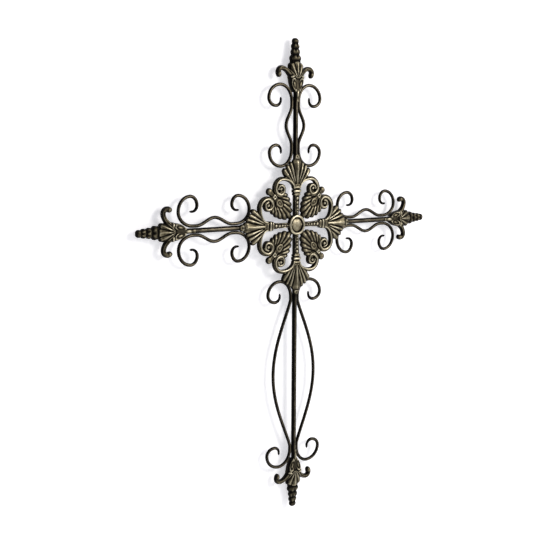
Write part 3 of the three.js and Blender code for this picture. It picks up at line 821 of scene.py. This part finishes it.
points, faces, rub_and_painted_light = casting(
    finial_form,
    finial_under,
    finial_handled,
    (-NECK - MARGIN, -FINIAL_HALF - MARGIN),
    (MARGIN, FINIAL_HALF + MARGIN),
    FINIAL_PITCH,
)
for arm, degrees in TURN.items():
    tip = FOOT_ARM if arm == "bottom" else ARM
    placed = arm_to_wall(points + [tip, 0, 0], degrees)
    piece(f"{arm}_finial_casting", placed, faces, rub_and_painted_light, CAST, f"{arm}_finial")

# Studio
# A pale wall behind the cross, a pale floor below it, and a large soft light high on the right. The wall
# shows only from the front, so that the back of the cross can be seen.

studio = bpy.context.scene
studio.view_settings.view_transform = "Standard"
studio.view_settings.look = "None"


def pale_surface(name, colour, glow, one_sided):
    """Matt white paint, without any pattern, that glows a little so that the shadows on it stay faint."""
    material = bpy.data.materials.new(name)
    material.use_nodes = True
    tree = material.node_tree
    shader = tree.nodes["Principled BSDF"]
    shader.inputs["Base Color"].default_value = linear(colour)
    shader.inputs["Roughness"].default_value = 0.9
    shader.inputs["Emission Color"].default_value = linear(colour)
    shader.inputs["Emission Strength"].default_value = glow
    if one_sided:
        side = add_node(tree, "ShaderNodeNewGeometry", {}, {}).outputs["Backfacing"]
        clear = add_node(tree, "ShaderNodeBsdfTransparent", {}, {}).outputs[0]
        mix = add_node(tree, "ShaderNodeMixShader", {}, {0: side, 1: shader.outputs[0], 2: clear})
        tree.links.new(mix.outputs[0], tree.nodes["Material Output"].inputs["Surface"])
    return material


def stage_sheet(name, corners, material):
    mesh = bpy.data.meshes.new(name)
    mesh.from_pydata(corners, [], [(0, 1, 2, 3)])
    mesh.materials.append(material)
    made = bpy.data.objects.new(name, mesh)
    studio.collection.objects.link(made)


WALL_Y = 0.011  # the cross hangs a little off the backdrop, so its shadow falls to one side
WALL_TOP = 3
FLOOR_Z = -1.0
REACH = 4  # how far the wall and the floor go on to each side
stage_sheet(
    "studio_wall",
    [(x, WALL_Y, z) for x, z in ((-REACH, FLOOR_Z), (REACH, FLOOR_Z), (REACH, WALL_TOP), (-REACH, WALL_TOP))],
    pale_surface("matt_white_wall", "f0f0f4", 0.57, True),
)
stage_sheet(
    "studio_floor",
    [(x, y, FLOOR_Z) for x, y in ((-REACH, -REACH), (REACH, -REACH), (REACH, REACH), (-REACH, REACH))],
    pale_surface("matt_pale_floor", "e9e9e6", 0.3, False),
)

world = bpy.data.worlds.new("studio_air")
world.use_nodes = True
world.node_tree.nodes["Background"].inputs["Color"].default_value = linear("f4f6fb")
world.node_tree.nodes["Background"].inputs["Strength"].default_value = 0.25
studio.world = world

LAMP_AT, LAMP_AIM = Vector((1.5, -2.3, 1.0)), Vector((0, 0, -0.05))
lamp = bpy.data.lights.new("key_light", "AREA")
lamp.shape = "DISK"
lamp.size = 1.4
lamp.energy = 48
lamp.color = linear("fffaf2")[:3]
key_light = bpy.data.objects.new("key_light", lamp)
key_light.location = LAMP_AT
key_light.rotation_euler = (LAMP_AIM - LAMP_AT).to_track_quat("-Z", "Y").to_euler()
studio.collection.objects.link(key_light)

# Camera
# It stands well to the left of the cross, a little higher than the crossing, and looks slightly down. Its
# lens sees about 30 degrees.

EYE_AT = (-1.2395, -1.5185, 0.160)
# How far it looks to the right and up, and how far its right side is raised.
YAW, TILT, ROLL = (math.radians(a) for a in (38.2245, -7.4594, 0.2377))
SENSOR = 36
FOCAL_SHARE = 1038.4355 / 550  # focal length as a share of the width of the view
level = math.cos(TILT)
look = Vector((math.sin(YAW) * level, math.cos(YAW) * level, math.sin(TILT)))
right = Vector((math.cos(YAW), -math.sin(YAW), 0))
up = right.cross(look)
tilted_right = math.cos(ROLL) * right + math.sin(ROLL) * up
tilted_up = -math.sin(ROLL) * right + math.cos(ROLL) * up
lens = bpy.data.cameras.new("camera")
lens.sensor_width = SENSOR
lens.lens = SENSOR * FOCAL_SHARE
lens.clip_start, lens.clip_end = 0.01, 50
camera = bpy.data.objects.new("camera", lens)
camera.matrix_world = Matrix(
    [(tilted_right[k], tilted_up[k], -look[k], EYE_AT[k]) for k in range(3)] + [(0, 0, 0, 1)]
)
studio.collection.objects.link(camera)
studio.camera = camera
